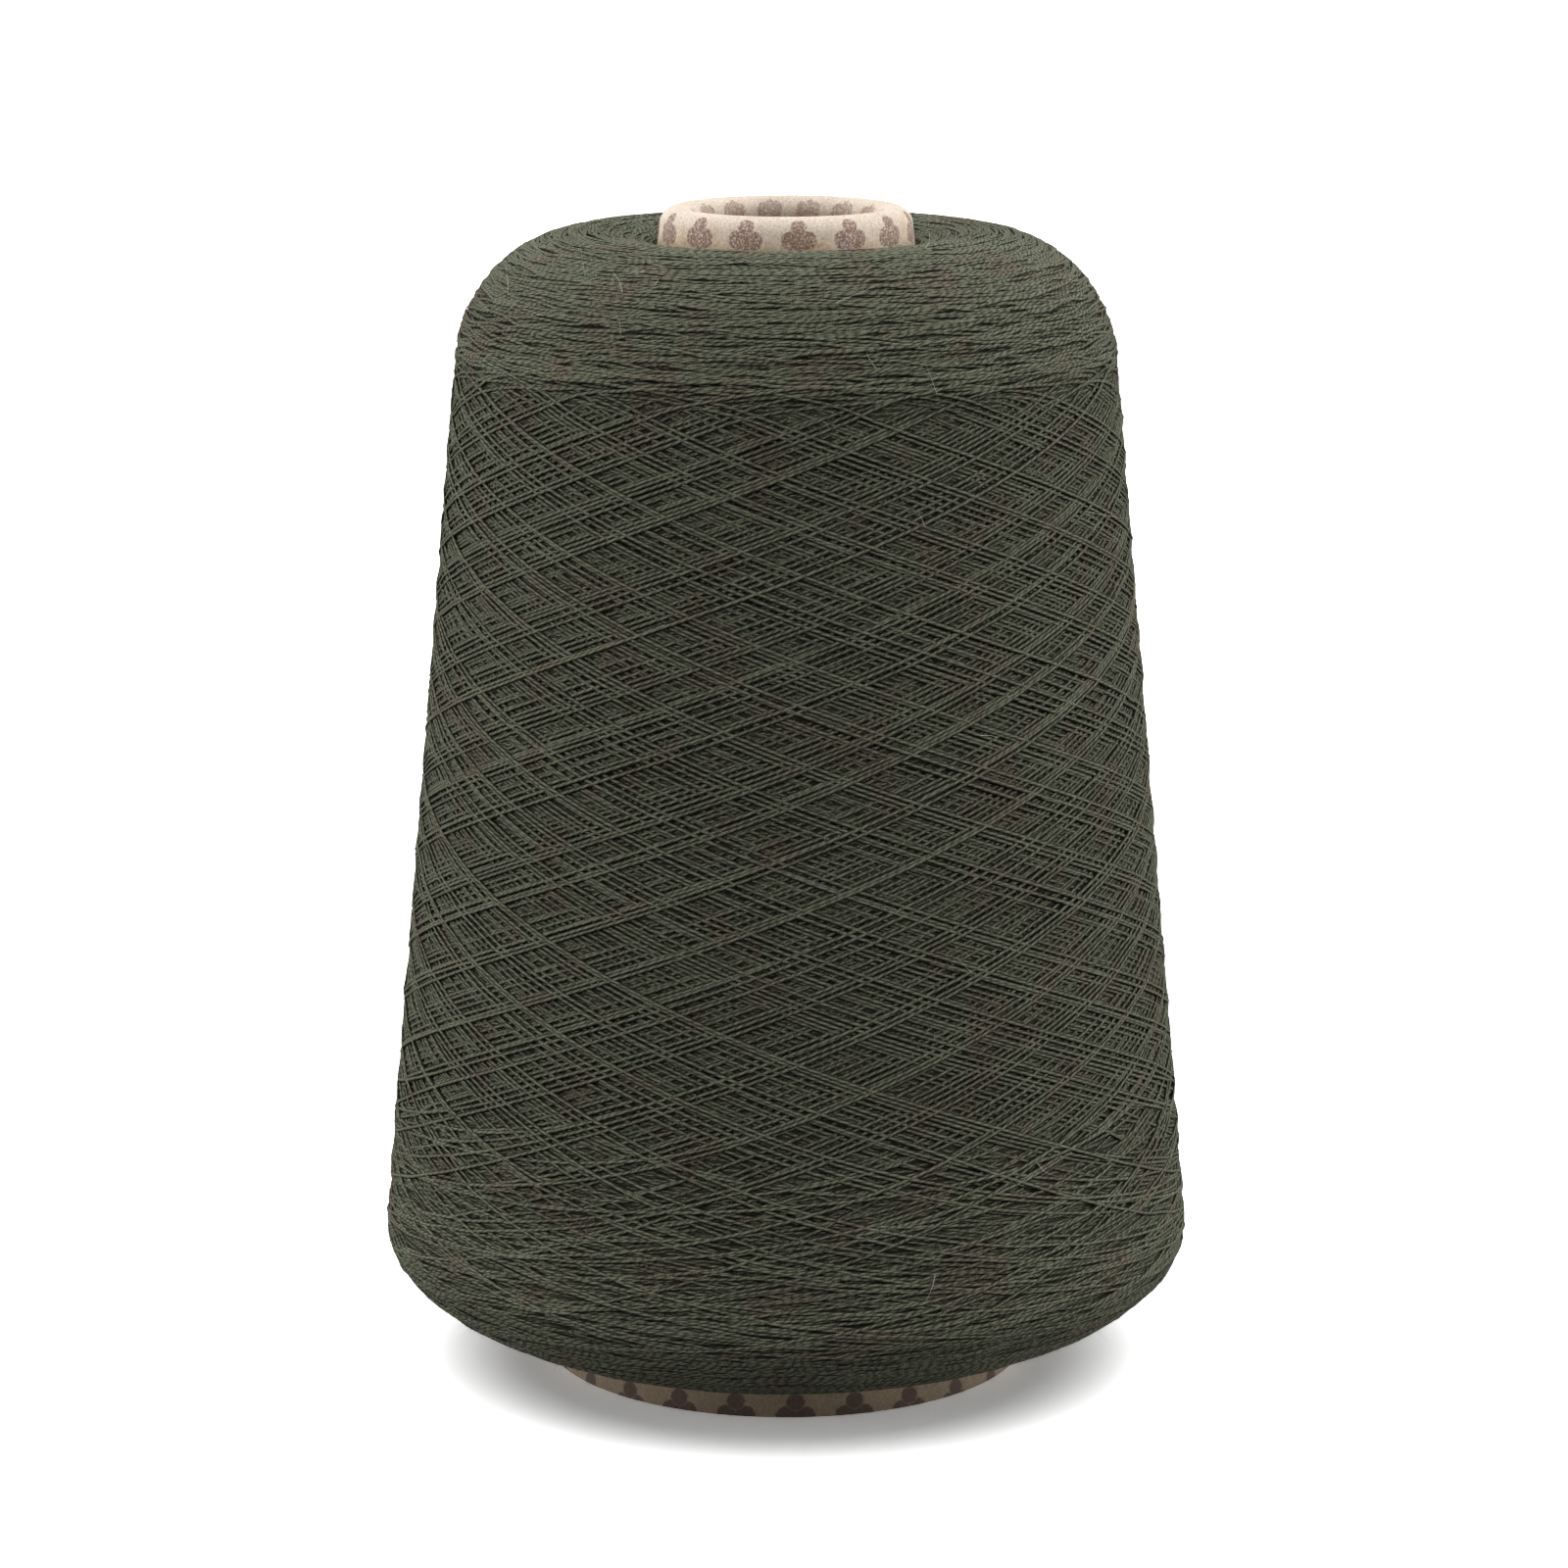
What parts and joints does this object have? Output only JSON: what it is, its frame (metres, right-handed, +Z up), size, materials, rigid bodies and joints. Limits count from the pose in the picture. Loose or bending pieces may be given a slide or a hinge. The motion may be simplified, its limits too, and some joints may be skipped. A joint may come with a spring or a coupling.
{
  "type": "cone of yarn",
  "caption": "Dark knitting yarn cross-wound on a hollow paper cone with a rolled nose and a printed leaf pattern, standing on its wide end.",
  "frame": {"origin": "middle of the paper cone's base ring, on the surface it stands on", "axes": "+Z up along the cone's axis, towards its rolled nose; the cone is round, so X and Y are free"},
  "size_m": [0.1182, 0.1182, 0.17],
  "materials": {
    "cone_paper": "matt printed paper",
    "yarn": "matt two-ply yarn, wound in crossing turns"
  },
  "bodies": {
    "root": {"paper_cone": "cone_paper", "yarn_package": "yarn"}
  },
  "joints": []
}
